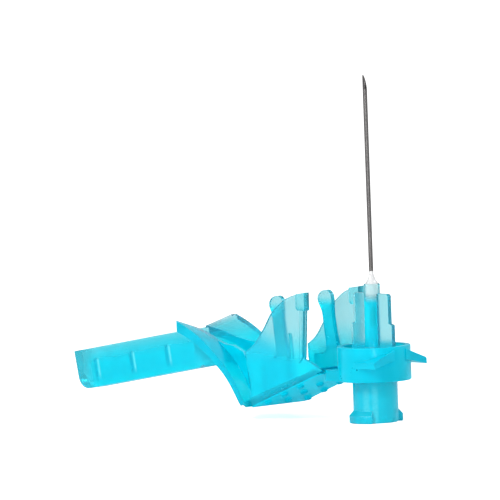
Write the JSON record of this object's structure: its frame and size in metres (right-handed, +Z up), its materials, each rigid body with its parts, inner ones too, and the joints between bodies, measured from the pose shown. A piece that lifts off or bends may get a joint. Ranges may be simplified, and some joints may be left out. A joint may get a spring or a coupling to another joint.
{
  "type": "safety hypodermic needle",
  "caption": "Hypodermic needle on a clear cyan luer hub with a hinged shield, shown open: collar, walled arm, winged finger pad and a long channel that folds over the needle.",
  "frame": {"origin": "centre of the luer mouth, on the flat bottom of the hub", "axes": "+Z runs up the needle; the open shield reaches out along -X; both hinges turn about lines along Y"},
  "size_m": [0.0648, 0.0132, 0.0501],
  "materials": {
    "hub_plastic": "clear cyan moulded polypropylene",
    "shield_plastic": "clear cyan moulded polypropylene, slightly frosted",
    "needle_steel": "drawn stainless steel",
    "clear_epoxy": "clear cured epoxy"
  },
  "bodies": {
    "hub": {"needle_hub": "hub_plastic", "needle_tube": "needle_steel", "needle_adhesive": "clear_epoxy", "shield_collar": "shield_plastic", "collar_hinge": "shield_plastic"},
    "arm": {"shield_arm": "shield_plastic", "knee_hinge": "shield_plastic"},
    "sheath": {"shield_sheath": "shield_plastic"}
  },
  "joints": [
    {"name": "collar_fold", "type": "hinge", "parent": "hub", "child": "arm", "pos_m": [-0.0059, 0, 0.0074], "axis": [0, 1, 0], "range_deg": [0, 88]},
    {"name": "knee_fold", "type": "hinge", "parent": "arm", "child": "sheath", "pos_m": [-0.0201, 0, 0.00195], "axis": [0, 1, 0], "range_deg": [0, 12]}
  ]
}
